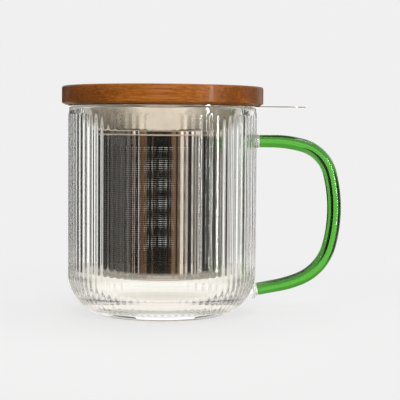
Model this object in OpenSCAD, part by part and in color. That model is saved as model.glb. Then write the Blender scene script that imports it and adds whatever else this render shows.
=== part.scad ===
// Glass tea mug with a lift-out infuser and a wooden lid, in millimetres.
// The origin is on the mug's axis in the plane that it stands on. +Z is up, and +X
// points to the handle and to the infuser's lift tab.

/* [Glass body] */
// Outer radius of the wall, over the crests of the ribs
body_r = 42.5; // [40:0.5:46]
// Height of the glass rim above the table
body_h = 93; // [85:1:105]
// Thickness of the wall behind the grooves
wall = 2.8; // [2.2:0.05:3]
// Height of the inner floor, over the thick base
floor_z = 6.7; // [4:0.1:9]
// Radius of the flat face that the mug stands on
foot_r = 29; // [25:0.5:33]
// Height at which the rounded bottom corner meets the straight wall
corner_h = 17; // [13:0.5:20]
// Number of soft vertical ribs round the wall
rib_count = 79; // [60:1:84]
// Height of the ribs over the grooves between them
rib_depth = 0.16; // [0.1:0.01:0.35]

/* [Handle] */
// Diameter of the coloured glass rod round the grip
rod_d = 6.3; // [5:0.1:8]
// Diameter of the rod where it is welded to the wall
rod_end_d = 5.7; // [4.5:0.1:7]
// Height of the upper leg's centre line, on a body 93 mm high
upper_leg_z = 78; // [74:0.5:82]
// Diameter of the clear glass welds where they spread over the wall
weld_d = 8; // [7:0.1:10]

/* [Infuser] */
// Outer radius of the perforated sleeve
sleeve_r = 28.6; // [24:0.1:30]
// Thickness of the collar's and the base cap's sheet
sheet = 0.5; // [0.4:0.1:0.8]
// Thickness of the perforated sheet
mesh_sheet = 0.4; // [0.3:0.1:0.6]
// Height of the basket's underside above the table
basket_z = 17.2; // [12:0.1:30]
// Distance from the axis to the end of the lift tab
tab_reach = 64.6; // [55:0.1:70]
// Width of the lift tab
tab_w = 16; // [12:0.5:22]
// Diameter of one perforation
hole_d = 1.8; // [1:0.1:2.4]

/* [Lid] */
// Outer radius of the wooden lid
lid_r = 45.3; // [44:0.1:48]
// Thickness of the lid's board
lid_t = 8.4; // [6:0.1:12]
// Radius of the locating step under the lid
step_r = 34; // [32:0.1:34.5]

/* [Hidden] */
$fn = 96;
// Sides of the circles that cut the short welds to length
fine_fn = 240;

clear_glass = [0.9, 0.93, 0.92, 0.35];
green_glass = [0.3, 0.65, 0.25, 0.8];
steel = [0.72, 0.72, 0.7];
perforated_steel = [0.45, 0.44, 0.42];
brown_wood = [0.55, 0.3, 0.12];
silicone = [0.85, 0.84, 0.8];

// Clearance between a piece that lifts off and what it rests on
seat_gap = 0.1;

// Glass body
groove_r = body_r - rib_depth;
inner_r = groove_r - wall;
inner_corner_r = 10.3;
lip_r = 1.1;
rim_r = body_r - 0.3;
rim_band_h = 4;
// Exponent of the bottom corner's superellipse: 2 is an ellipse, less is flatter
corner_power = 1.64;
points_per_rib = 4;
ring_size = rib_count * points_per_rib;
// Where on the corner's curve the ribs rise out of the smooth foot, in degrees
rib_start = 28;
corner_steps = 6;
foot_sink = rib_depth / 2;
// How deep the ends of the ribbed skin are buried in the foot and in the rim band
end_sink = 0.4;

// Handle: straight legs, and the bends between them as [radius of the centre line, angle]
upper_leg = 6.2;
lower_leg = 9.2;
bend_step = 7.5;
rod_sides = 20;
bends = [[50, 15.5], [17.7, 60], [65, 29], [23, 53], [52, 11.5]];
handle_x = 43.9;
weld_reach = 5;

// Infuser
flange_z = body_h + seat_gap;
flange_r = body_r;
neck_z = 82;
neck_bend_r = 5;
rim_bend_r = 1.5;
cone_slope = 45;
bead_d = 1.1;
bead_z = 80.6;
cap_h = 1.8;
cap_corner_r = 0.9;
plain_band = 8.2;
hole_rows = 12;
hole_columns = 40;
// The plain seam of the rolled sleeve takes the place of one column of holes
seam_angle = 90;
base_hole_pitch = 4.2;
base_hole_reach = 25;

// Lid
lid_z = flange_z + sheet + seat_gap;
step_h = 3;
seal_h = 1.4;
seal_w = 1.9;
seal_groove = 0.6;
edge_r = 1;
bevel_w = 1.6;
bevel_h = 0.8;

over = 1;

// Points of an arc from angle a0 to angle a1
function arc(centre, r, a0, a1, steps = 6) = [
  for (i = [0 : steps]) let (a = a0 + (a1 - a0) * i / steps)
    centre + r * [cos(a), sin(a)]
];

// The bottom corner's outline over the crests, from the foot (0) to the wall (90)
function corner_point(t) = [
  foot_r + (body_r - foot_r) * pow(sin(t), 2 / corner_power),
  corner_h * (1 - pow(cos(t), 2 / corner_power))
];
function corner_inward(t) = [-sin(t), cos(t)];
function corner_outline(sink, t0, t1, step) = [
  for (t = [t0 : step : t1]) corner_point(t) + sink * corner_inward(t)
];

// One ring round the ribs: [outline point, direction into the glass, depth of the crest]
rings = concat(
  [for (i = [0 : corner_steps]) let (t = rib_start + (90 - rib_start) * i / corner_steps)
    [corner_point(t), corner_inward(t), i == 0 ? end_sink : i == 1 ? rib_depth / 8 : 0]],
  [
    [[body_r, body_h - rim_band_h - over], [-1, 0], 0],
    [[body_r, body_h - 0.8 * rim_band_h], [-1, 0], rib_depth / 5],
    [[body_r, body_h - 0.6 * rim_band_h], [-1, 0], end_sink]
  ]
);
// Share of the depth at angle a: 0 on the crest of a rib, 1 in the middle of a groove. The ribs
// are soft waves, with a crest in the middle of the front.
function groove_share(a) = (1 - cos((a + 90) * rib_count)) / 2;
function rib_ring(ring) = [
  for (k = [0 : ring_size - 1]) let (
    a = 360 * k / ring_size,
    depth = max(ring[2], ring[2] + (rib_depth - ring[2]) * groove_share(a)),
    p = ring[0] + depth * ring[1]
  ) [p[0] * cos(a), p[0] * sin(a), p[1]]
];

// A closed solid through equal rings of points, which run anticlockwise seen from the last
module skin(ring_points) {
  last = len(ring_points) - 1;
  size = len(ring_points[0]);
  sides = [
    for (i = [0 : last - 1], k = [0 : size - 1]) let (
      a = i * size + k,
      b = i * size + (k + 1) % size
    ) each [[a, a + size, b], [b, a + size, b + size]]
  ];
  first_end = [for (k = [0 : size - 1]) k];
  last_end = [for (k = [size - 1 : -1 : 0]) last * size + k];
  polyhedron([for (ring = ring_points) each ring], concat(sides, [first_end, last_end]), convexity = 4);
}

// The smooth foot under the ribs
module foot() {
  rotate_extrude() polygon(concat(
    [[0, 0], [foot_r, 0]],
    corner_outline(foot_sink, 10, 40, 5),
    [[foot_r, floor_z], [0, floor_z - over]]
  ));
}

// The plain rounded band above the ribs, still filled
module rim_band() {
  rotate_extrude() polygon(concat(
    [[0, body_h - rim_band_h - over], [groove_r - over, body_h - rim_band_h - over]],
    arc([rim_r - 2 * lip_r, body_h - rim_band_h + lip_r], 2 * lip_r, -50, 0, 3),
    arc([rim_r - lip_r, body_h - lip_r], lip_r, 0, 90),
    [[0, body_h]]
  ));
}

// The drinking space, with a rounded inner lip
module cavity() {
  rotate_extrude() polygon(concat(
    [[0, floor_z]],
    arc([inner_r - inner_corner_r, floor_z + inner_corner_r], inner_corner_r, -90, 0, 8),
    arc([inner_r + lip_r, body_h - lip_r], lip_r, 180, 90),
    [[inner_r + lip_r, body_h + over], [0, body_h + over]]
  ));
}

module glass_body() {
  color(clear_glass) difference() {
    union() {
      skin([for (ring = rings) rib_ring(ring)]);
      foot();
      rim_band();
    }
    cavity();
  }
}

// The glass behind the grooves, which the welds grow out of
module glass_core() {
  rotate_extrude($fn = fine_fn) polygon(concat(
    [[0, 0]],
    corner_outline(rib_depth, 0, 90, 6),
    [[groove_r, body_h], [0, body_h]]
  ));
}

// A clear glass weld along -X, from the end of the rod to the wall
module weld() {
  rotate([0, -90, 0]) rotate_extrude() polygon(concat(
    [[0, 0], [rod_end_d / 2, 0]],
    arc([weld_d / 2 + 0.3, 0.4], (weld_d - rod_end_d) / 2 + 0.3, 180, 100, 5),
    [[weld_d / 2, weld_reach], [0, weld_reach]]
  ));
}

// A place on the rod's centre line is [x, z, degrees that the rod has turned down from +X]
function straight_on(place, length) = [
  place[0] + length * cos(place[2]), place[1] - length * sin(place[2]), place[2]
];
function bent_on(place, r, angle) = [
  place[0] + r * (sin(place[2] + angle) - sin(place[2])),
  place[1] + r * (cos(place[2] + angle) - cos(place[2])),
  place[2] + angle
];
rod_start = [handle_x, upper_leg_z, 0];
function bend_start(i) = i == 0 ? straight_on(rod_start, upper_leg)
  : bent_on(bend_start(i - 1), bends[i - 1][0], bends[i - 1][1]);
rod_end = straight_on(bend_start(len(bends)), lower_leg);
rod_places = concat(
  [rod_start],
  [for (i = [0 : len(bends) - 1]) let (steps = ceil(bends[i][1] / bend_step))
    for (j = [0 : steps - 1]) bent_on(bend_start(i), bends[i][0], bends[i][1] * j / steps)],
  [bend_start(len(bends)), rod_end]
);
// The rod is thinnest in its straight legs and thickest half way round
function rod_radius(turned) =
  (rod_end_d + (rod_d - rod_end_d) * sqrt(max(0, sin(180 * turned / rod_end[2])))) / 2;
function rod_ring(place) = [
  for (k = [0 : rod_sides - 1]) let (
    a = 360 * k / rod_sides,
    across = rod_radius(place[2]) * cos(a)
  ) [
    place[0] + across * sin(place[2]),
    -rod_radius(place[2]) * sin(a),
    place[1] + across * cos(place[2])
  ]
];

module upper_handle_weld() {
  color(clear_glass) difference() {
    translate([rod_start[0], 0, rod_start[1]]) weld();
    glass_core();
  }
}

module lower_handle_weld() {
  color(clear_glass) difference() {
    translate([rod_end[0], 0, rod_end[1]]) rotate([0, rod_end[2] - 180, 0]) weld();
    glass_core();
  }
}

module handle() {
  color(green_glass) skin([for (place = rod_places) rod_ring(place)]);
}

// Outline of the collar's sheet on one side: side 0 faces the axis, side 1 the glass
function collar_side(side) = let (
    neck_r = neck_bend_r + sheet * (1 - side),
    rim_bend = rim_bend_r + sheet * (1 - side),
    neck_centre = [sleeve_r + sheet + neck_bend_r, neck_z],
    rim_centre_z = flange_z - rim_bend_r,
    rise = rim_centre_z - neck_z,
    run = (rise + (rim_bend_r - neck_bend_r) * sin(cone_slope)) / tan(cone_slope)
          + (rim_bend_r - neck_bend_r) * cos(cone_slope),
    rim_centre = [neck_centre[0] + run, rim_centre_z]
  ) concat(
    [[sleeve_r + side * sheet, bead_z]],
    arc(neck_centre, neck_r, 180, 180 - cone_slope),
    arc(rim_centre, rim_bend, 180 - cone_slope, 90),
    [[flange_r, flange_z + sheet * (1 - side)]]
  );
function reversed(list) = [for (i = [len(list) - 1 : -1 : 0]) list[i]];

// Stamped flange and funnel with the lift tab, and a rolled bead round the neck
module infuser_collar() {
  color(steel) union() {
    rotate_extrude() polygon(concat(collar_side(0), reversed(collar_side(1))));
    rotate_extrude() translate([sleeve_r + sheet + bead_d / 4, bead_z]) circle(d = bead_d, $fn = 32);
    translate([0, 0, flange_z]) linear_extrude(sheet) difference() {
      union() {
        translate([0, -tab_w / 2]) square([tab_reach - tab_w / 2, tab_w]);
        translate([tab_reach - tab_w / 2, 0]) circle(d = tab_w);
      }
      circle(r = flange_r - over);
    }
  }
}

// Rolled sleeve, with rows of holes between two plain bands
module basket_sleeve() {
  first_row = basket_z + plain_band;
  row_pitch = (neck_z - 2 * plain_band + 2 - basket_z) / (hole_rows - 1);
  color(perforated_steel) difference() {
    translate([0, 0, basket_z + sheet]) cylinder(h = neck_z - basket_z - sheet, r = sleeve_r);
    translate([0, 0, basket_z]) cylinder(h = neck_z - basket_z + over, r = sleeve_r - mesh_sheet);
    for (row = [0 : hole_rows - 1], column = [1 : hole_columns - 1])
      rotate([0, 0, seam_angle + column * 360 / hole_columns])
        translate([sleeve_r - 1.5, 0, first_row + row * row_pitch])
          rotate([0, 90, 0]) cylinder(h = 3, d = hole_d);
  }
}

// Perforated cap with a turned-up rim round the sleeve
module basket_base() {
  cap_r = sleeve_r + mesh_sheet;
  count = floor(base_hole_reach / base_hole_pitch);
  color(steel) union() {
    translate([0, 0, basket_z]) linear_extrude(sheet) difference() {
      circle(r = cap_r - cap_corner_r);
      for (i = [-count : count], j = [-count : count])
        if (norm([i, j]) * base_hole_pitch <= base_hole_reach)
          translate([i, j] * base_hole_pitch) circle(d = hole_d);
    }
    rotate_extrude() polygon(concat(
      arc([cap_r - cap_corner_r, basket_z + cap_corner_r], cap_corner_r, -90, 0),
      [[cap_r, basket_z + cap_h], [sleeve_r, basket_z + cap_h], [sleeve_r, basket_z + sheet],
       [cap_r - cap_corner_r - over, basket_z + sheet], [cap_r - cap_corner_r - over, basket_z]]
    ));
  }
}

// Turned wooden board with a bevelled lower edge and a grooved step that locates it
module lid() {
  seal_z = lid_z - (step_h + seal_h) / 2;
  color(brown_wood) rotate_extrude() polygon(concat(
    [[0, lid_z - step_h], [step_r, lid_z - step_h], [step_r, seal_z],
     [step_r - seal_groove, seal_z], [step_r - seal_groove, seal_z + seal_h],
     [step_r, seal_z + seal_h], [step_r, lid_z],
     [lid_r - bevel_w, lid_z], [lid_r, lid_z + bevel_h]],
    arc([lid_r - edge_r, lid_z + lid_t - edge_r], edge_r, 0, 90),
    [[0, lid_z + lid_t]]
  ));
}

// Silicone ring in the step's groove
module lid_seal() {
  seal_z = lid_z - (step_h + seal_h) / 2;
  ring_r = step_r - seal_groove;
  round_r = seal_h / 2;
  color(silicone) rotate_extrude() polygon(concat(
    [[ring_r, seal_z]],
    arc([ring_r + seal_w - round_r, seal_z + round_r], round_r, -90, 90, 8),
    [[ring_r, seal_z + seal_h]]
  ));
}

glass_body();
upper_handle_weld();
lower_handle_weld();
handle();
infuser_collar();
basket_sleeve();
basket_base();
lid();
lid_seal();
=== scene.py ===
"""Looks of a ribbed glass tea mug with a lift-out infuser and a wooden lid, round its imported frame.

Lengths are in metres, +Z is up and +X points to the handle and the lift tab.
"""

import math

import bmesh
import bpy
import numpy as np
from mathutils import Matrix, Vector
from mathutils.geometry import delaunay_2d_cdt


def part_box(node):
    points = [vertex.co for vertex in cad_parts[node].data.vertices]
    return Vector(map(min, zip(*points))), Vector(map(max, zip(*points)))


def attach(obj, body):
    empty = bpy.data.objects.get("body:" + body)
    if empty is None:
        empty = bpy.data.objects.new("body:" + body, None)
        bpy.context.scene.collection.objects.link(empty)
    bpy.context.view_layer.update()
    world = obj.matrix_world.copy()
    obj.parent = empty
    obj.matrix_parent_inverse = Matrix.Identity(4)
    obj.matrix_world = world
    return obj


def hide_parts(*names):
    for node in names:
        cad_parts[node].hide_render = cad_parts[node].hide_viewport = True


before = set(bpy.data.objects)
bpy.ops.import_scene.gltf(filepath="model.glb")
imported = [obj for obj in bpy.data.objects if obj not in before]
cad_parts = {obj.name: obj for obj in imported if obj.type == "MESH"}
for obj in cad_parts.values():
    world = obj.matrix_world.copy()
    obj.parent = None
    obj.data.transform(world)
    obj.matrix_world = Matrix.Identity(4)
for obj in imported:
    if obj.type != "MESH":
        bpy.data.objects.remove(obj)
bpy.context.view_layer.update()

MM = 0.001

# Sizes that the frame gives
BODY_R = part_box("glass_body")[1].x
BODY_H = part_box("glass_body")[1].z
FLANGE_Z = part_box("infuser_collar")[1].z
TAB_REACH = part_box("infuser_collar")[1].x
BASKET_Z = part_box("basket_base")[0].z
CAP_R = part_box("basket_base")[1].x
NECK_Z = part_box("basket_sleeve")[1].z
SLEEVE_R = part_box("basket_sleeve")[1].x
LID_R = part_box("lid")[1].x
LID_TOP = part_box("lid")[1].z
LID_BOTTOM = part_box("lid")[0].z
SEAL_LOW, SEAL_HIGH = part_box("lid_seal")

# Glass body
RIBS = 79
RIB_DEPTH = 0.16 * MM
RIB_STEPS = 16
WALL = 2.8 * MM
FLOOR_Z = 6.7 * MM
INNER_CORNER_R = 14 * MM
FOOT_R = 29 * MM
CORNER_H = 17 * MM
CORNER_POWER = 1.64
RIM_R = BODY_R - 0.3 * MM
LIP_R = 1.1 * MM
# The ribs fade in on the bottom corner and out under the rim band
RIB_START_DEGREES = 32
RIB_START_SPAN = 6
RIB_TOP_Z = BODY_H - 2.9 * MM
RIB_TOP_SPAN = 1.6 * MM
SMOOTH_DROP = 0.08 * MM

# Handle: straight legs and the bends between them, (radius of the centre line, degrees)
ROD_D = 6.3 * MM
ROD_END_D = 5.7 * MM
ROD_START = (43.9 * MM, 78 * MM)
UPPER_LEG = 6.2 * MM
LOWER_LEG = 9.2 * MM
BENDS = ((50 * MM, 15.5), (17.7 * MM, 60), (65 * MM, 29), (23 * MM, 53), (52 * MM, 11.5))
ROD_SIDES = 40
WELD_D = 8 * MM
WELD_REACH = 3.2 * MM
WELD_GAP = 0.02 * MM
WELD_EDGE = 0.1 * MM
WELD_LIP = 0.3 * MM
WELD_FLARE_Z = 0.4 * MM

# Infuser
SHEET = 0.5 * MM
MESH_SHEET = 0.4 * MM
NECK_BEND_R = 2 * MM
RIM_BEND_R = 1.5 * MM
CONE_SLOPE = math.radians(48)
BEAD_R = 0.34 * MM
BEAD_Z = 80.6 * MM
TAB_W = 16 * MM
FLANGE_INSET = 1 * MM
SHEET_EDGE = 0.12 * MM
HOLE_SIDES = 6
HOLE_PITCH = 0.914 * MM
HOLE_R = 0.25 * MM
SEAM_COLUMNS = 3
HOLES_LOW = 24.9 * MM
HOLES_HIGH = 75.7 * MM
CAP_H = 1.8 * MM
CAP_CORNER_R = 0.9 * MM
CAP_EDGE = 0.1 * MM
CAP_CLEARANCE = 0.03 * MM
CAP_CORNER_RISE = 0.3 * MM
CAP_CORNER_INSET = 0.2 * MM
CAP_PITCH = 1.3 * MM
CAP_HOLE_R = 0.4 * MM
CAP_HOLES_REACH = 24.5 * MM

# Lid
LID_BOARD_Z = LID_BOTTOM + 3 * MM
STEP_R = 34 * MM
STEP_EDGE_R = 0.3 * MM
GROOVE = 0.6 * MM
CREASE = 0.12 * MM

# Light that runs along the thick glass base is reflected inside it many times
GLASS_BOUNCES = 32

# Camera: 540 mm in front of the mug's axis, a little under the height of the glass rim
EYE = (17.1 * MM, -540 * MM, 84.2 * MM)
PITCH, ROLL = 0.0612, 0.0073
LENS_MM, SENSOR_MM = 107.3, 36.0


# ---------------------------------------------------------------- geometry


def arc(centre, radius, start, end, steps=8):
    """Points of an arc in the (r, z) plane, between two angles in degrees."""
    angles = np.radians(np.linspace(start, end, steps + 1))
    return [(centre[0] + radius * math.cos(a), centre[1] + radius * math.sin(a)) for a in angles]


def circle_angles(count):
    return np.arange(count) * 2 * math.pi / count


def skin_faces(ring_count, size, closed):
    """Quads between rings of equal size. A closed skin joins its last ring to its first."""
    spans = ring_count if closed else ring_count - 1
    faces = []
    for i in range(spans):
        a, b = i * size, (i + 1) % ring_count * size
        for k in range(size):
            n = (k + 1) % size
            faces.append((a + k, a + n, b + n, b + k))
    return faces


def lathe(profile, segments):
    """Rings of a profile of (r, z) turned about Z. A profile that starts and ends on the axis
    gets two poles, and any other is closed on itself."""
    profile = list(profile)
    poles = profile[0][0] < 1e-9 and profile[-1][0] < 1e-9
    inner = profile[1:-1] if poles else profile
    angles = circle_angles(segments)
    points = [(r * math.cos(a), r * math.sin(a), z) for r, z in inner for a in angles]
    faces = skin_faces(len(inner), segments, closed=not poles)
    if poles:
        add_poles(points, faces, segments, profile[0][1], profile[-1][1])
    return points, faces


def add_poles(points, faces, size, first_z, last_z):
    """Closes both ends of an open skin with a fan round a point on the axis."""
    last = len(points) - size
    first_pole, last_pole = len(points), len(points) + 1
    points += [(0, 0, first_z), (0, 0, last_z)]
    for k in range(size):
        n = (k + 1) % size
        faces.append((first_pole, n, k))
        faces.append((last_pole, last + k, last + n))


def add_piece(name, points, faces, body, material, nodes, sharp=35):
    """A mesh piece with outward normals that rides on a body and stands for CAD nodes."""
    mesh = bpy.data.meshes.new(name)
    mesh.from_pydata([tuple(p) for p in points], [], faces)
    work = bmesh.new()
    work.from_mesh(mesh)
    bmesh.ops.recalc_face_normals(work, faces=work.faces)
    work.to_mesh(mesh)
    work.free()
    mesh.shade_smooth()
    mesh.set_sharp_from_angle(angle=math.radians(sharp))
    mesh.materials.append(material)
    piece = bpy.data.objects.new(name, mesh)
    bpy.context.scene.collection.objects.link(piece)
    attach(piece, body)
    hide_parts(*nodes)
    return piece


# ---------------------------------------------------------------- glass


def corner_point(t):
    """The bottom corner over the rib crests, from the foot (0) to the wall (90 degrees)."""
    t = math.radians(t)
    power = 2 / CORNER_POWER
    return (
        FOOT_R + (BODY_R - FOOT_R) * math.sin(t) ** power,
        CORNER_H * (1 - max(0.0, math.cos(t)) ** power),
    )


def rib_drop(angles):
    """Depth of each point round the ribs: soft waves, with a crest in the middle of the front."""
    return RIB_DEPTH * (1 - np.cos(RIBS * (angles + math.pi / 2))) / 2


def smooth_step(x):
    x = min(1.0, max(0.0, x))
    return x * x * (3 - 2 * x)


def glass_outline():
    """The outer skin from the foot to the rim: (r, z, inward r, inward z, share of the ribs)."""
    outline = []
    fade_z = RIB_TOP_Z - RIB_TOP_SPAN
    for t in (*range(2, 30, 3), *range(30, 44), *range(44, 90, 3)):
        a = math.radians(t)
        share = smooth_step((t - RIB_START_DEGREES) / RIB_START_SPAN)
        outline.append((*corner_point(t), -math.sin(a), math.cos(a), share))
    for z in np.linspace(CORNER_H, fade_z, 8):
        outline.append((BODY_R, z, -1, 0, 1))
    for i in range(1, 9):
        share = 1 - smooth_step(i / 8)
        outline.append((BODY_R, RIB_TOP_Z - RIB_TOP_SPAN * (1 - i / 8), -1, 0, share))
    return outline


def glass_body(material):
    """The cup as one skin, from the middle of the foot over the rim to the middle of its floor."""
    angles = circle_angles(RIBS * RIB_STEPS)
    drop = rib_drop(angles)
    cos, sin = np.cos(angles), np.sin(angles)
    points = []

    def add_ring(r, z):
        r = np.broadcast_to(r, angles.shape)
        z = np.broadcast_to(z, angles.shape)
        points.extend(zip(r * cos, r * sin, z))

    for share in (0.5, 0.9):
        add_ring(FOOT_R * share, 0.0)
    for r, z, nr, nz, share in glass_outline():
        depth = share * drop + (1 - share) * SMOOTH_DROP
        add_ring(r + nr * depth, z + nz * depth)
    inner_r = BODY_R - RIB_DEPTH - WALL
    corner = (inner_r - INNER_CORNER_R, FLOOR_Z + INNER_CORNER_R)
    inside = (
        arc((RIM_R - LIP_R, BODY_H - LIP_R), LIP_R, 0, 90)
        + arc((inner_r + LIP_R, BODY_H - LIP_R), LIP_R, 90, 180)
        + [(inner_r, z) for z in np.linspace(BODY_H - 2 * LIP_R, corner[1], 6)]
        + arc(corner, INNER_CORNER_R, -3, -90, 24)
        + [(corner[0] * 0.5, FLOOR_Z)]
    )
    for r, z in inside:
        add_ring(r, z)
    size = len(angles)
    faces = skin_faces(len(points) // size, size, closed=False)
    add_poles(points, faces, size, 0.0, FLOOR_Z)
    add_piece("glass_cup", points, faces, "mug", material, ["glass_body"], sharp=14)


def rod_places():
    """The rod's centre line as (x, z, radians turned down from +X)."""

    def straight(place, length):
        x, z, turned = place
        return x + length * math.cos(turned), z - length * math.sin(turned), turned

    def bent(place, radius, angle):
        x, z, turned = place
        return (
            x + radius * (math.sin(turned + angle) - math.sin(turned)),
            z + radius * (math.cos(turned + angle) - math.cos(turned)),
            turned + angle,
        )

    place = (*ROD_START, 0.0)
    places = [straight(place, UPPER_LEG * share) for share in (0, 0.02, 0.5)]
    place = straight(place, UPPER_LEG)
    for radius, degrees in BENDS:
        steps = max(6, round(degrees / 2))
        angle = math.radians(degrees)
        places += [bent(place, radius, angle * i / steps) for i in range(steps)]
        place = bent(place, radius, angle)
    places += [straight(place, LOWER_LEG * share) for share in (0, 0.5, 0.98, 1)]
    return places


def rod_radius(turned, total):
    thickening = math.sqrt(max(0.0, math.sin(math.pi * turned / total)))
    return (ROD_END_D + (ROD_D - ROD_END_D) * thickening) / 2


def handle(material):
    """The green rod. Returns the places of its two ends."""
    places = rod_places()
    total = places[-1][2]
    points = []
    for x, z, turned in places:
        radius = rod_radius(turned, total)
        for a in circle_angles(ROD_SIDES):
            across = radius * math.cos(a)
            out, up = across * math.sin(turned), across * math.cos(turned)
            points.append((x + out, radius * math.sin(a), z + up))
    faces = skin_faces(len(places), ROD_SIDES, closed=False)
    faces.append(tuple(range(ROD_SIDES)))
    faces.append(tuple(range(len(points) - ROD_SIDES, len(points))))
    add_piece("grip_rod", points, faces, "mug", material, ["handle"])
    return places[0], places[-1]


def weld(name, node, place, along, material):
    """A clear glass gather that flares from the rod's end to the wall."""
    rod_r = ROD_END_D / 2
    flare = (WELD_D - ROD_END_D) / 2 + WELD_LIP
    profile = (
        [(0.0, WELD_GAP), (rod_r / 2, WELD_GAP)]
        + [(rod_r - WELD_EDGE, WELD_GAP), (rod_r, WELD_GAP + WELD_EDGE)]
        + arc((WELD_D / 2 + WELD_LIP, WELD_FLARE_Z), flare, 180, 100, 8)
        + [(WELD_D / 2, WELD_REACH), (0.0, WELD_REACH)]
    )
    points, faces = lathe(profile, 48)
    turn = Vector((0, 0, 1)).rotation_difference(Vector(along)).to_matrix()
    centre = Vector((place[0], 0, place[1]))
    points = [turn @ Vector(p) + centre for p in points]
    add_piece(name, points, faces, "mug", material, [node])


# ---------------------------------------------------------------- infuser


def collar_side(outside):
    """One side of the collar's sheet, from the neck up to the flange: (r, z)."""
    thick = 0.0 if outside else SHEET
    neck = (SLEEVE_R + SHEET + NECK_BEND_R, NECK_Z)
    rim_z = FLANGE_Z - SHEET - RIM_BEND_R
    bend_gap = RIM_BEND_R - NECK_BEND_R
    run = (rim_z - NECK_Z + bend_gap * math.sin(CONE_SLOPE)) / math.tan(CONE_SLOPE)
    rim = (neck[0] + run + bend_gap * math.cos(CONE_SLOPE), rim_z)
    slope = 180 - math.degrees(CONE_SLOPE)
    return (
        [(neck[0] - NECK_BEND_R - thick, BEAD_Z)]
        + arc(neck, NECK_BEND_R + thick, 180, slope, 12)
        + arc(rim, RIM_BEND_R + thick, slope, 90, 8)
    )


def flange_radius(angle):
    """Plan outline of the flange, which runs out into the round-ended lift tab at angle 0."""
    half = TAB_W / 2
    end = TAB_REACH - half
    side = math.asin(half / BODY_R)
    angle = abs((angle + math.pi) % (2 * math.pi) - math.pi)
    if angle > side:
        return BODY_R
    if angle > math.atan2(half, end):
        return half / math.sin(angle)
    return end * math.cos(angle) + math.sqrt(half**2 - (end * math.sin(angle)) ** 2)


def collar_angles():
    half = TAB_W / 2
    side = math.asin(half / BODY_R)
    tab = np.linspace(-side, side, 81)
    rest = np.linspace(side, 2 * math.pi - side, 256)[1:-1]
    return np.concatenate([tab, rest])


def collar(material):
    """Flange, funnel and lift tab in one sheet, with a rolled bead round the neck."""
    angles = collar_angles()
    low_z, high_z = FLANGE_Z - SHEET, FLANGE_Z
    flat = [flange_radius(a) for a in angles]
    points = []

    def add_ring(radii, z):
        points.extend((r * math.cos(a), r * math.sin(a), z) for r, a in zip(radii, angles))

    inner, outer = collar_side(outside=False), collar_side(outside=True)
    for r, z in inner:
        add_ring([r] * len(angles), z)
    add_ring([BODY_R - FLANGE_INSET] * len(angles), high_z)
    add_ring([r - SHEET_EDGE for r in flat], high_z)
    add_ring(flat, high_z - SHEET_EDGE)
    add_ring(flat, low_z + SHEET_EDGE)
    add_ring([r - SHEET_EDGE for r in flat], low_z)
    add_ring([BODY_R - FLANGE_INSET] * len(angles), low_z)
    for r, z in reversed(outer):
        add_ring([r] * len(angles), z)
    bead = arc((SLEEVE_R + SHEET + BEAD_R / 2, BEAD_Z), BEAD_R, 90, -120, 10)
    for r, z in bead:
        add_ring([r] * len(angles), z)
    size = len(angles)
    faces = skin_faces(len(points) // size, size, closed=True)
    nodes = ["infuser_collar"]
    add_piece(
        "infuser_funnel", points, faces, "infuser", material, nodes, sharp=50
    )


def sleeve(material):
    """Rolled tube with rows of fine holes between two plain bands, and a plain seam at the back."""
    columns = round(2 * math.pi * SLEEVE_R / HOLE_PITCH)
    rows = round((HOLES_HIGH - HOLES_LOW) / HOLE_PITCH)
    open_columns = columns - SEAM_COLUMNS
    sides = HOLE_SIDES
    step_a = 2 * math.pi / columns
    step_z = (HOLES_HIGH - HOLES_LOW) / rows
    first_a = math.pi / 2 - step_a * SEAM_COLUMNS / 2
    low_z, high_z = BASKET_Z + SHEET, NECK_Z
    corner_a = first_a + np.arange(columns) * step_a
    corner_z = np.concatenate([[low_z], HOLES_LOW + np.arange(rows + 1) * step_z, [high_z]])
    hole_a = np.radians(np.arange(sides) * 360 / sides)
    points = []
    for radius in (SLEEVE_R, SLEEVE_R - MESH_SHEET):
        a, z = np.meshgrid(corner_a, corner_z)
        points.append(np.stack([radius * np.cos(a), radius * np.sin(a), z], -1).reshape(-1, 3))
        row, column, k = np.meshgrid(
            np.arange(rows), np.arange(SEAM_COLUMNS, columns), np.arange(sides), indexing="ij"
        )
        a = first_a + (column + 0.5) * step_a + HOLE_R / SLEEVE_R * np.cos(hole_a[k])
        z = HOLES_LOW + (row + 0.5) * step_z + HOLE_R * np.sin(hole_a[k])
        points.append(np.stack([radius * np.cos(a), radius * np.sin(a), z], -1).reshape(-1, 3))
    corners = len(corner_z) * columns
    layer = corners + rows * open_columns * sides
    faces = []
    for base in (0, layer):
        for column in range(columns):
            n = (column + 1) % columns
            for level in range(len(corner_z) - 1):
                low, high = base + level * columns, base + (level + 1) * columns
                a, b, c, d = low + column, low + n, high + n, high + column
                if column < SEAM_COLUMNS or level in (0, rows + 1):
                    faces.append((a, b, c, d))
                    continue
                number = (level - 1) * open_columns + column - SEAM_COLUMNS
                first = base + corners + number * sides
                h = [first + k for k in range(sides)]
                faces += [
                    (c, d, h[2], h[1]),
                    (d, a, h[4], h[3], h[2]),
                    (a, b, h[5], h[4]),
                    (b, c, h[1], h[0], h[5]),
                ]
    for first in range(corners, layer, sides):
        for k in range(sides):
            n = (k + 1) % sides
            faces.append((first + k, first + n, layer + first + n, layer + first + k))
    for level in (0, len(corner_z) - 1):
        for column in range(columns):
            a, b = level * columns + column, level * columns + (column + 1) % columns
            faces.append((a, b, layer + b, layer + a))
    points = np.concatenate(points)
    add_piece(
        "perforated_tube", points, faces, "infuser", material, ["basket_sleeve"]
    )


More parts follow.
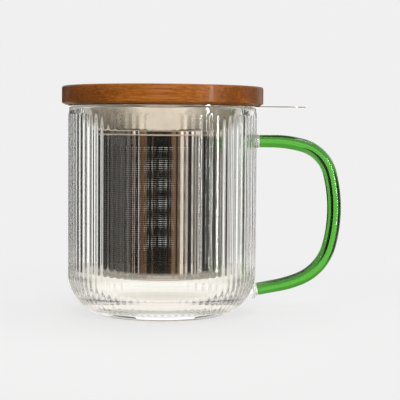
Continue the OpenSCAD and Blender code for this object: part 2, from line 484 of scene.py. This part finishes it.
def perforated_disc(radius, pitch, hole_r, reach, low_z, high_z):
    """A disc with a square grid of holes, open at its edge: the points and faces of both sides,
    the number of points on its edge, and the number on each side."""
    sides, edge_sides = HOLE_SIDES, 160
    count = int(reach / pitch)
    centres = [
        (i * pitch, j * pitch)
        for i in range(-count, count + 1)
        for j in range(-count, count + 1)
        if math.hypot(i, j) * pitch <= reach
    ]
    flat = [(radius * math.cos(a), radius * math.sin(a)) for a in circle_angles(edge_sides)]
    loops = [list(range(edge_sides))]
    for x, y in centres:
        start = len(flat)
        flat += [(x + hole_r * math.cos(a), y + hole_r * math.sin(a)) for a in circle_angles(sides)]
        loops.append(list(range(start, start + sides)))
    edges = [(loop[k], loop[(k + 1) % len(loop)]) for loop in loops for k in range(len(loop))]
    found = delaunay_2d_cdt([Vector(p) for p in flat], edges, [], 0, 1e-7)
    triangles = []
    holes = {index for loop in loops[1:] for index in loop}
    owner = {index: n for n, loop in enumerate(loops) for index in loop}
    for triangle in found[2]:
        same = len({owner[i] for i in triangle}) == 1
        if not (same and triangle[0] in holes):
            triangles.append(tuple(triangle))
    size = len(flat)
    points = [(x, y, low_z) for x, y in flat] + [(x, y, high_z) for x, y in flat]
    faces = triangles + [tuple(i + size for i in reversed(t)) for t in triangles]
    for loop in loops[1:]:
        for k, index in enumerate(loop):
            n = loop[(k + 1) % len(loop)]
            faces.append((index, n, n + size, index + size))
    return points, faces, edge_sides, size


def basket_cap(material):
    """Perforated bottom with a rounded, turned-up rim round the tube."""
    low_z, high_z = BASKET_Z, BASKET_Z + SHEET
    disc_r = CAP_R - CAP_CORNER_R
    inner_r = SLEEVE_R + CAP_CLEARANCE
    points, faces, sides, size = perforated_disc(
        disc_r, CAP_PITCH, CAP_HOLE_R, CAP_HOLES_REACH, low_z, high_z
    )
    rim = (
        arc((disc_r, low_z + CAP_CORNER_R), CAP_CORNER_R, -90, 0, 6)[1:]
        + [(CAP_R, low_z + CAP_H - CAP_EDGE), (CAP_R - CAP_EDGE, low_z + CAP_H)]
        + [(inner_r, low_z + CAP_H), (inner_r, high_z + CAP_CORNER_RISE)]
        + [(SLEEVE_R - CAP_CORNER_INSET, high_z)]
    )
    previous = list(range(sides))
    for r, z in rim:
        ring = list(range(len(points), len(points) + sides))
        points += [(r * math.cos(a), r * math.sin(a), z) for a in circle_angles(sides)]
        faces += join(previous, ring)
        previous = ring
    faces += join(previous, list(range(size, size + sides)))
    add_piece("basket_cap", points, faces, "infuser", material, ["basket_base"])


def join(first, second):
    """Quads between two loops of equal length."""
    first_next, second_next = first[1:] + first[:1], second[1:] + second[:1]
    return list(zip(first, first_next, second_next, second))


# ---------------------------------------------------------------- lid


def lid(material):
    """The turned board, bevelled below, with its locating step and the seal's groove."""
    bevel_w, bevel_h, edge = 1.6 * MM, 0.8 * MM, 1.0 * MM
    ease_r, ease_z = 0.2 * MM, 0.05 * MM
    bevel_z = LID_BOARD_Z + bevel_h
    groove_r = STEP_R - GROOVE
    profile = (
        [(0.0, LID_BOTTOM), (STEP_R * 0.6, LID_BOTTOM)]
        + arc((STEP_R - STEP_EDGE_R, LID_BOTTOM + STEP_EDGE_R), STEP_EDGE_R, -90, 0, 4)
        + [(STEP_R, SEAL_LOW.z), (groove_r, SEAL_LOW.z)]
        + [(groove_r, SEAL_HIGH.z), (STEP_R, SEAL_HIGH.z), (STEP_R, LID_BOARD_Z)]
        + [(LID_R - bevel_w - ease_r, LID_BOARD_Z), (LID_R - bevel_w, LID_BOARD_Z + ease_z)]
        + [(LID_R - ease_r, bevel_z - ease_z), (LID_R, bevel_z + ease_r)]
        + arc((LID_R - edge, LID_TOP - edge), edge, 0, 90, 8)
        + [(LID_R * 0.5, LID_TOP), (0.0, LID_TOP)]
    )
    points, faces = lathe(profile, 256)
    add_piece("wooden_lid", points, faces, "lid", material, ["lid"])


def seal(material):
    """Silicone ring with a rounded lip that swells between two shallow creases."""
    low, high, reach = SEAL_LOW.z, SEAL_HIGH.z, SEAL_HIGH.x
    ring_r = STEP_R - GROOVE
    middle, half = (low + high) / 2, (high - low) / 2
    lip = []
    for a in np.linspace(-90, 90, 25):
        crease = CREASE * math.exp(-((abs(a) - 38) / 10) ** 2)
        turned = math.radians(a)
        r = reach - half + (half - crease) * math.cos(turned)
        lip.append((r, middle + half * math.sin(turned)))
    points, faces = lathe([(ring_r, low)] + lip + [(ring_r, high)], 192)
    add_piece("silicone_seal", points, faces, "lid", material, ["lid_seal"])


# ---------------------------------------------------------------- materials


def srgb(r, g, b):
    """A screen colour from 0 to 255 as linear RGBA."""

    def linear(c):
        c /= 255
        return c / 12.92 if c <= 0.04045 else ((c + 0.055) / 1.055) ** 2.4

    return linear(r), linear(g), linear(b), 1.0


def add(tree, kind, inputs=None, **settings):
    """A shader node with its settings, and its inputs as values or links."""
    made = tree.nodes.new("ShaderNode" + kind)
    for key, value in settings.items():
        setattr(made, key, value)
    for key, value in (inputs or {}).items():
        if isinstance(value, bpy.types.NodeSocket):
            tree.links.new(value, made.inputs[key])
        else:
            made.inputs[key].default_value = value
    return made


def new_material(name):
    material = bpy.data.materials.new(name)
    material.use_nodes = True
    tree = material.node_tree
    tree.nodes.clear()
    return material, tree


def output(tree, shader):
    add(tree, "OutputMaterial", {"Surface": shader.outputs[0]})


def stretched_noise(tree, scale, detail=4.0, roughness=0.55, distortion=0.0):
    """Noise over the object's own place, with a scale per metre on each axis."""
    place = add(tree, "TexCoord").outputs["Object"]
    mapped = add(tree, "Mapping", {"Vector": place, "Scale": scale})
    return add(
        tree,
        "TexNoise",
        {
            "Vector": mapped.outputs[0],
            "Scale": 1.0,
            "Detail": detail,
            "Roughness": roughness,
            "Distortion": distortion,
        },
    ).outputs[0]


def ramp(tree, factor, stops, interpolation="LINEAR"):
    """A colour ramp of (position, colour) stops."""
    made = add(tree, "ValToRGB", {"Fac": factor})
    made.color_ramp.interpolation = interpolation
    elements = made.color_ramp.elements
    for position, colour in stops[2:]:
        elements.new(position).color = colour
    for element, (position, colour) in zip(elements, sorted(stops)):
        element.position = position
        element.color = colour
    return made.outputs[0]


def remap(tree, value, low, high, first=0.0, last=1.0):
    """A value between two limits as one between two others, and no further."""
    inputs = {"Value": value, "From Min": low, "From Max": high, "To Min": first, "To Max": last}
    return add(tree, "MapRange", inputs).outputs[0]


def mix(tree, share, first, second):
    """The first shader at a share of 0 and the second at 1."""
    return add(tree, "MixShader", {0: share, 1: first.outputs[0], 2: second.outputs[0]})


def bump(tree, height, strength, distance):
    inputs = {"Height": height, "Strength": strength, "Distance": distance}
    return add(tree, "Bump", inputs).outputs[0]


def even_noise(tree, scale, detail=4.0):
    return stretched_noise(tree, (scale, scale, scale), detail)


def glass_material(name, colour, ior, waviness, coat=0.0):
    """Clear or tinted glass with a faint hand-worked waviness and a slight film of handling."""
    material, tree = new_material(name)
    waves = stretched_noise(tree, (90, 90, 25), detail=2.0)
    film = remap(tree, even_noise(tree, 60), 0.0, 1.0, 0.0, 0.008)
    shader = add(
        tree,
        "BsdfPrincipled",
        {
            "Base Color": colour,
            "Roughness": film,
            "IOR": ior,
            "Transmission Weight": 1.0,
            "Coat Weight": coat,
            "Coat Roughness": 0.02,
            "Normal": bump(tree, waves, waviness, 0.3 * MM),
        },
    )
    output(tree, shader)
    return material


def steel_material(name, low, high, smooth, rough, lines, matt_inside=False):
    """Polished steel with fine marks that run round the axis. With matt_inside, whatever lies
    within the tube's outer skin is matt: the tube's inner side and the disc of its base."""
    material, tree = new_material(name)
    marks = stretched_noise(tree, lines, detail=5.0)
    clouds = even_noise(tree, 35, detail=3.0)
    roughness = remap(tree, marks, 0.0, 1.0, smooth, rough)
    if matt_inside:
        place = add(tree, "TexCoord").outputs["Object"]
        place = add(tree, "VectorMath", {0: place, 1: (1, 1, 0)}, operation="MULTIPLY")
        reach = add(tree, "VectorMath", {0: place.outputs[0]}, operation="LENGTH").outputs["Value"]
        inside, outside = SLEEVE_R - 0.3 * MM, SLEEVE_R - 0.1 * MM
        roughness = remap(tree, reach, inside, outside, 0.55, roughness)
    shader = add(
        tree,
        "BsdfPrincipled",
        {
            "Base Color": ramp(tree, clouds, [(0.3, low), (0.7, high)]),
            "Metallic": 1.0,
            "Roughness": roughness,
            "Normal": bump(tree, marks, 0.08, 0.05 * MM),
        },
    )
    output(tree, shader)
    return material


def wood_material():
    """Oiled brown wood: growth bands, fine fibres and dark pores, all along X."""
    material, tree = new_material("oiled_wood")
    bands = stretched_noise(tree, (7, 60, 110), detail=3.0, distortion=0.4)
    fibres = stretched_noise(tree, (30, 900, 1500), detail=5.0, roughness=0.65)
    pores = stretched_noise(tree, (130, 2600, 3600), detail=2.0)
    browns = [(0.25, srgb(112, 60, 18)), (0.5, srgb(146, 84, 27)), (0.75, srgb(172, 105, 38))]
    base = ramp(tree, bands, browns)
    fibre_shade = ramp(tree, fibres, [(0.3, srgb(150, 135, 120)), (0.65, srgb(255, 255, 255))])
    pore_shade = ramp(tree, pores, [(0.3, srgb(130, 110, 95)), (0.42, srgb(255, 255, 255))])
    fibrous = add(
        tree, "MixRGB", {"Fac": 0.85, "Color1": base, "Color2": fibre_shade}, blend_type="MULTIPLY"
    ).outputs[0]
    colour = add(
        tree, "MixRGB", {"Fac": 0.6, "Color1": fibrous, "Color2": pore_shade}, blend_type="MULTIPLY"
    ).outputs[0]
    shader = add(
        tree,
        "BsdfPrincipled",
        {
            "Base Color": colour,
            "Roughness": remap(tree, fibres, 0.0, 1.0, 0.3, 0.5),
            "Coat Weight": 0.12,
            "Specular IOR Level": 0.15,
            "Coat Roughness": 0.12,
            "Normal": bump(tree, fibres, 0.25, 0.15 * MM),
        },
    )
    output(tree, shader)
    return material


def silicone_material():
    """Milky silicone with a soft matt skin."""
    material, tree = new_material("milky_silicone")
    mottle = even_noise(tree, 220, detail=3.0)
    milk = ramp(tree, mottle, [(0.3, srgb(214, 212, 204)), (0.7, srgb(232, 230, 224))])
    shader = add(
        tree,
        "BsdfPrincipled",
        {
            "Base Color": milk,
            "Roughness": remap(tree, mottle, 0.0, 1.0, 0.42, 0.58),
            "Subsurface Weight": 0.4,
            "Subsurface Radius": (1.0, 0.9, 0.8),
            "Subsurface Scale": 1.5 * MM,
            "Normal": bump(tree, mottle, 0.1, 0.05 * MM),
        },
    )
    output(tree, shader)
    return material


# ---------------------------------------------------------------- studio


BACKGROUND = srgb(240, 240, 240)


def either(tree, *values):
    """The largest of several 0 or 1 values."""
    found = values[0]
    for value in values[1:]:
        found = add(tree, "Math", {0: found, 1: value}, operation="MAXIMUM").outputs[0]
    return found


# Softboxes that glass and steel see round the horizon, with darkness between them:
# (from, to, colour, strength), in degrees from the back towards +X
WHITE, WARM, DARK = (1.0, 0.99, 0.97), (1.0, 0.62, 0.4), (1.0, 0.98, 0.92)
SOFTBOXES = [
    (-155, -140, WARM, 0.2),
    (-140, -135, WHITE, 1.2),
    (-120, -80, WHITE, 0.15),
    (-48, -40, WHITE, 0.4),
    (-16, 8, WHITE, 1.25),
    (20, 40, WHITE, 1.0),
    (60, 75, WHITE, 0.9),
    (105, 115, WHITE, 0.9),
    (128, 140, WHITE, 1.4),
    (140, 160, WARM, 0.3),
]
UNLIT = 0.02
BRIGHTEST = max(strength for *_, strength in SOFTBOXES)


def shiny_ray(tree, rays):
    """1 for a ray that glass or steel sends out."""
    return either(tree, rays["Is Glossy Ray"], rays["Is Transmission Ray"])


def horizon_stops():
    """The softboxes and the darkness between them as stops of a stepped colour ramp."""
    steps = {-180: (DARK, UNLIT)}
    for start, end, colour, strength in SOFTBOXES:
        steps[start] = (colour, strength)
        steps[end] = (DARK, UNLIT)
    return [
        ((degrees + 180) / 360, tuple(c * strength / BRIGHTEST for c in colour) + (1.0,))
        for degrees, (colour, strength) in steps.items()
    ]


def studio_world():
    """An even pale backdrop for the camera. Glass and steel see softboxes round the horizon, pale
    light above them and a pale surround and a dull table below."""
    world = bpy.data.worlds.new("studio")
    bpy.context.scene.world = world
    world.use_nodes = True
    tree = world.node_tree
    tree.nodes.clear()
    rays = add(tree, "LightPath").outputs
    direction = add(tree, "TexCoord").outputs["Generated"]
    part = add(tree, "SeparateXYZ", {0: direction}).outputs
    turn = add(tree, "Math", {0: part["X"], 1: part["Y"]}, operation="ARCTAN2").outputs[0]
    place = remap(tree, turn, -math.pi, math.pi)

    def background(colour, strength):
        return add(tree, "Background", {"Color": colour, "Strength": strength})

    def rises(low, high):
        return remap(tree, part["Z"], low, high)

    band = background(ramp(tree, place, horizon_stops(), interpolation="CONSTANT"), BRIGHTEST)
    above = background(srgb(250, 248, 244), 0.85)
    table = background(srgb(90, 88, 77), 1.0)
    around = background(srgb(208, 206, 200), 1.0)
    below = mix(tree, rises(-0.5, -0.42), table, around)
    studio = mix(tree, rises(-0.2, -0.16), below, band)
    studio = mix(tree, rises(0.12, 0.2), studio, above)
    seen = background(BACKGROUND, 1.0)
    fill = background(srgb(246, 246, 248), 0.03)
    lit = mix(tree, shiny_ray(tree, rays), fill, studio)
    last = mix(tree, rays["Is Camera Ray"], lit, seen)
    add(tree, "OutputWorld", {"Surface": last.outputs[0]})


def floor():
    """A pale table top that keeps the object's soft shadow and melts into the backdrop. Glass and
    steel see a painted glow under the mug in place of the lit table top, and see past it elsewhere."""
    material, tree = new_material("pale_table")
    rays = add(tree, "LightPath").outputs
    grain = even_noise(tree, 8, detail=2.0)
    paint = ramp(tree, grain, [(0.0, srgb(228, 228, 228)), (1.0, srgb(230, 230, 230))])
    diffuse = add(tree, "BsdfDiffuse", {"Color": paint})
    glow = add(tree, "Emission", {"Color": BACKGROUND, "Strength": 1.0})
    # painted glow: a bright patch under the mug that only glass and steel see, in place of the lit
    # table top
    painted_glow_under_mug = add(tree, "Emission", {"Color": srgb(255, 250, 241), "Strength": 0.95})
    past = add(tree, "BsdfTransparent")
    place = add(tree, "TexCoord").outputs["Object"]
    reach = add(tree, "VectorMath", {0: place}, operation="LENGTH").outputs["Value"]
    side = add(tree, "SeparateXYZ", {0: place}).outputs["X"]
    side = add(tree, "Math", {0: side}, operation="ABSOLUTE").outputs[0]

    seen = mix(tree, remap(tree, reach, 60 * MM, 250 * MM, 0.85, 1.0), diffuse, glow)
    clear_of_mug = either(
        tree, remap(tree, side, 36 * MM, 56 * MM), remap(tree, reach, 130 * MM, 140 * MM)
    )
    # glass and steel see the painted glow under the mug, and see past the table elsewhere
    mirrored = mix(tree, clear_of_mug, painted_glow_under_mug, past)
    lit = mix(tree, rays["Is Camera Ray"], diffuse, seen)
    output(tree, mix(tree, shiny_ray(tree, rays), lit, mirrored))
    half, just_under = 3.0, -0.02 * MM
    mesh = bpy.data.meshes.new("table")
    corners = [(-half, -half), (half, -half), (half, half), (-half, half)]
    mesh.from_pydata([(x, y, just_under) for x, y in corners], [], [(0, 1, 2, 3)])
    mesh.materials.append(material)
    table = bpy.data.objects.new("table", mesh)
    bpy.context.scene.collection.objects.link(table)


def lamp(name, place, target, width, height, watts, colour, mirrored=True):
    """A soft rectangular lamp that faces a point. Glass never shows it, and a lamp that isn't
    mirrored is hidden from reflections too."""
    data = bpy.data.lights.new(name, "AREA")
    data.shape = "RECTANGLE"
    data.size, data.size_y = width, height
    data.energy = watts
    data.color = colour
    made = bpy.data.objects.new(name, data)
    made.location = place
    made.rotation_euler = (Vector(target) - Vector(place)).to_track_quat("-Z", "Y").to_euler()
    made.visible_transmission = False
    made.visible_glossy = mirrored
    bpy.context.scene.collection.objects.link(made)


def lamps():
    middle, lid_edge = (0, 0, 0.06), (0, 0, 0.09)
    even, soft, mild = (1.0, 1.0, 1.0), (1.0, 0.99, 0.97), (1.0, 0.98, 0.95)
    lamp("front_lamp", (0.0, -0.2, 0.16), lid_edge, 0.08, 0.1, 0.33, mild, mirrored=False)
    lamp("strip_lamp", (0.75, -0.5, 0.2), middle, 0.06, 0.6, 3.0, soft)
    lamp("top_lamp", (0.1, 0.1, 0.9), middle, 0.7, 0.7, 6.0, even)
    lamp("back_lamp", (-0.2, 0.9, 0.4), middle, 0.6, 0.5, 5.0, even, mirrored=False)


def camera():
    data = bpy.data.cameras.new("camera")
    data.sensor_width = SENSOR_MM
    data.lens = LENS_MM
    data.clip_start = 0.01
    made = bpy.data.objects.new("camera", data)
    turn = Matrix.Rotation(math.pi / 2 - PITCH, 4, "X") @ Matrix.Rotation(ROLL, 4, "Z")
    made.matrix_world = Matrix.Translation(EYE) @ turn
    bpy.context.scene.collection.objects.link(made)
    bpy.context.scene.camera = made


def main():
    bpy.context.scene.view_settings.view_transform = "Standard"
    light_paths = bpy.context.scene.cycles
    light_paths.max_bounces = GLASS_BOUNCES
    light_paths.glossy_bounces = GLASS_BOUNCES
    light_paths.transmission_bounces = GLASS_BOUNCES
    camera()
    studio_world()
    floor()
    lamps()

    clear = glass_material("clear_glass", (0.99, 0.995, 0.985, 1.0), 1.47, 0.008)
    green = glass_material("green_glass", (0.09, 0.41, 0.045, 1.0), 1.36, 0.02, coat=0.3)
    funnel_steel = steel_material(
        "polished_steel", srgb(226, 214, 201), srgb(242, 232, 219), 0.04, 0.12, (40, 40, 2500)
    )
    low, high = srgb(190, 184, 176), srgb(206, 200, 192)
    tube_steel = steel_material(
        "perforated_steel", low, high, 0.03, 0.1, (40, 40, 1500), matt_inside=True
    )
    wood = wood_material()
    silicone = silicone_material()

    glass_body(clear)
    upper, lower = handle(green)
    weld("upper_weld", "upper_handle_weld", upper, (-1, 0, 0), clear)
    outward = (math.cos(lower[2]), 0, -math.sin(lower[2]))
    weld("lower_weld", "lower_handle_weld", lower, outward, clear)
    collar(funnel_steel)
    sleeve(tube_steel)
    basket_cap(tube_steel)
    lid(wood)
    seal(silicone)


main()
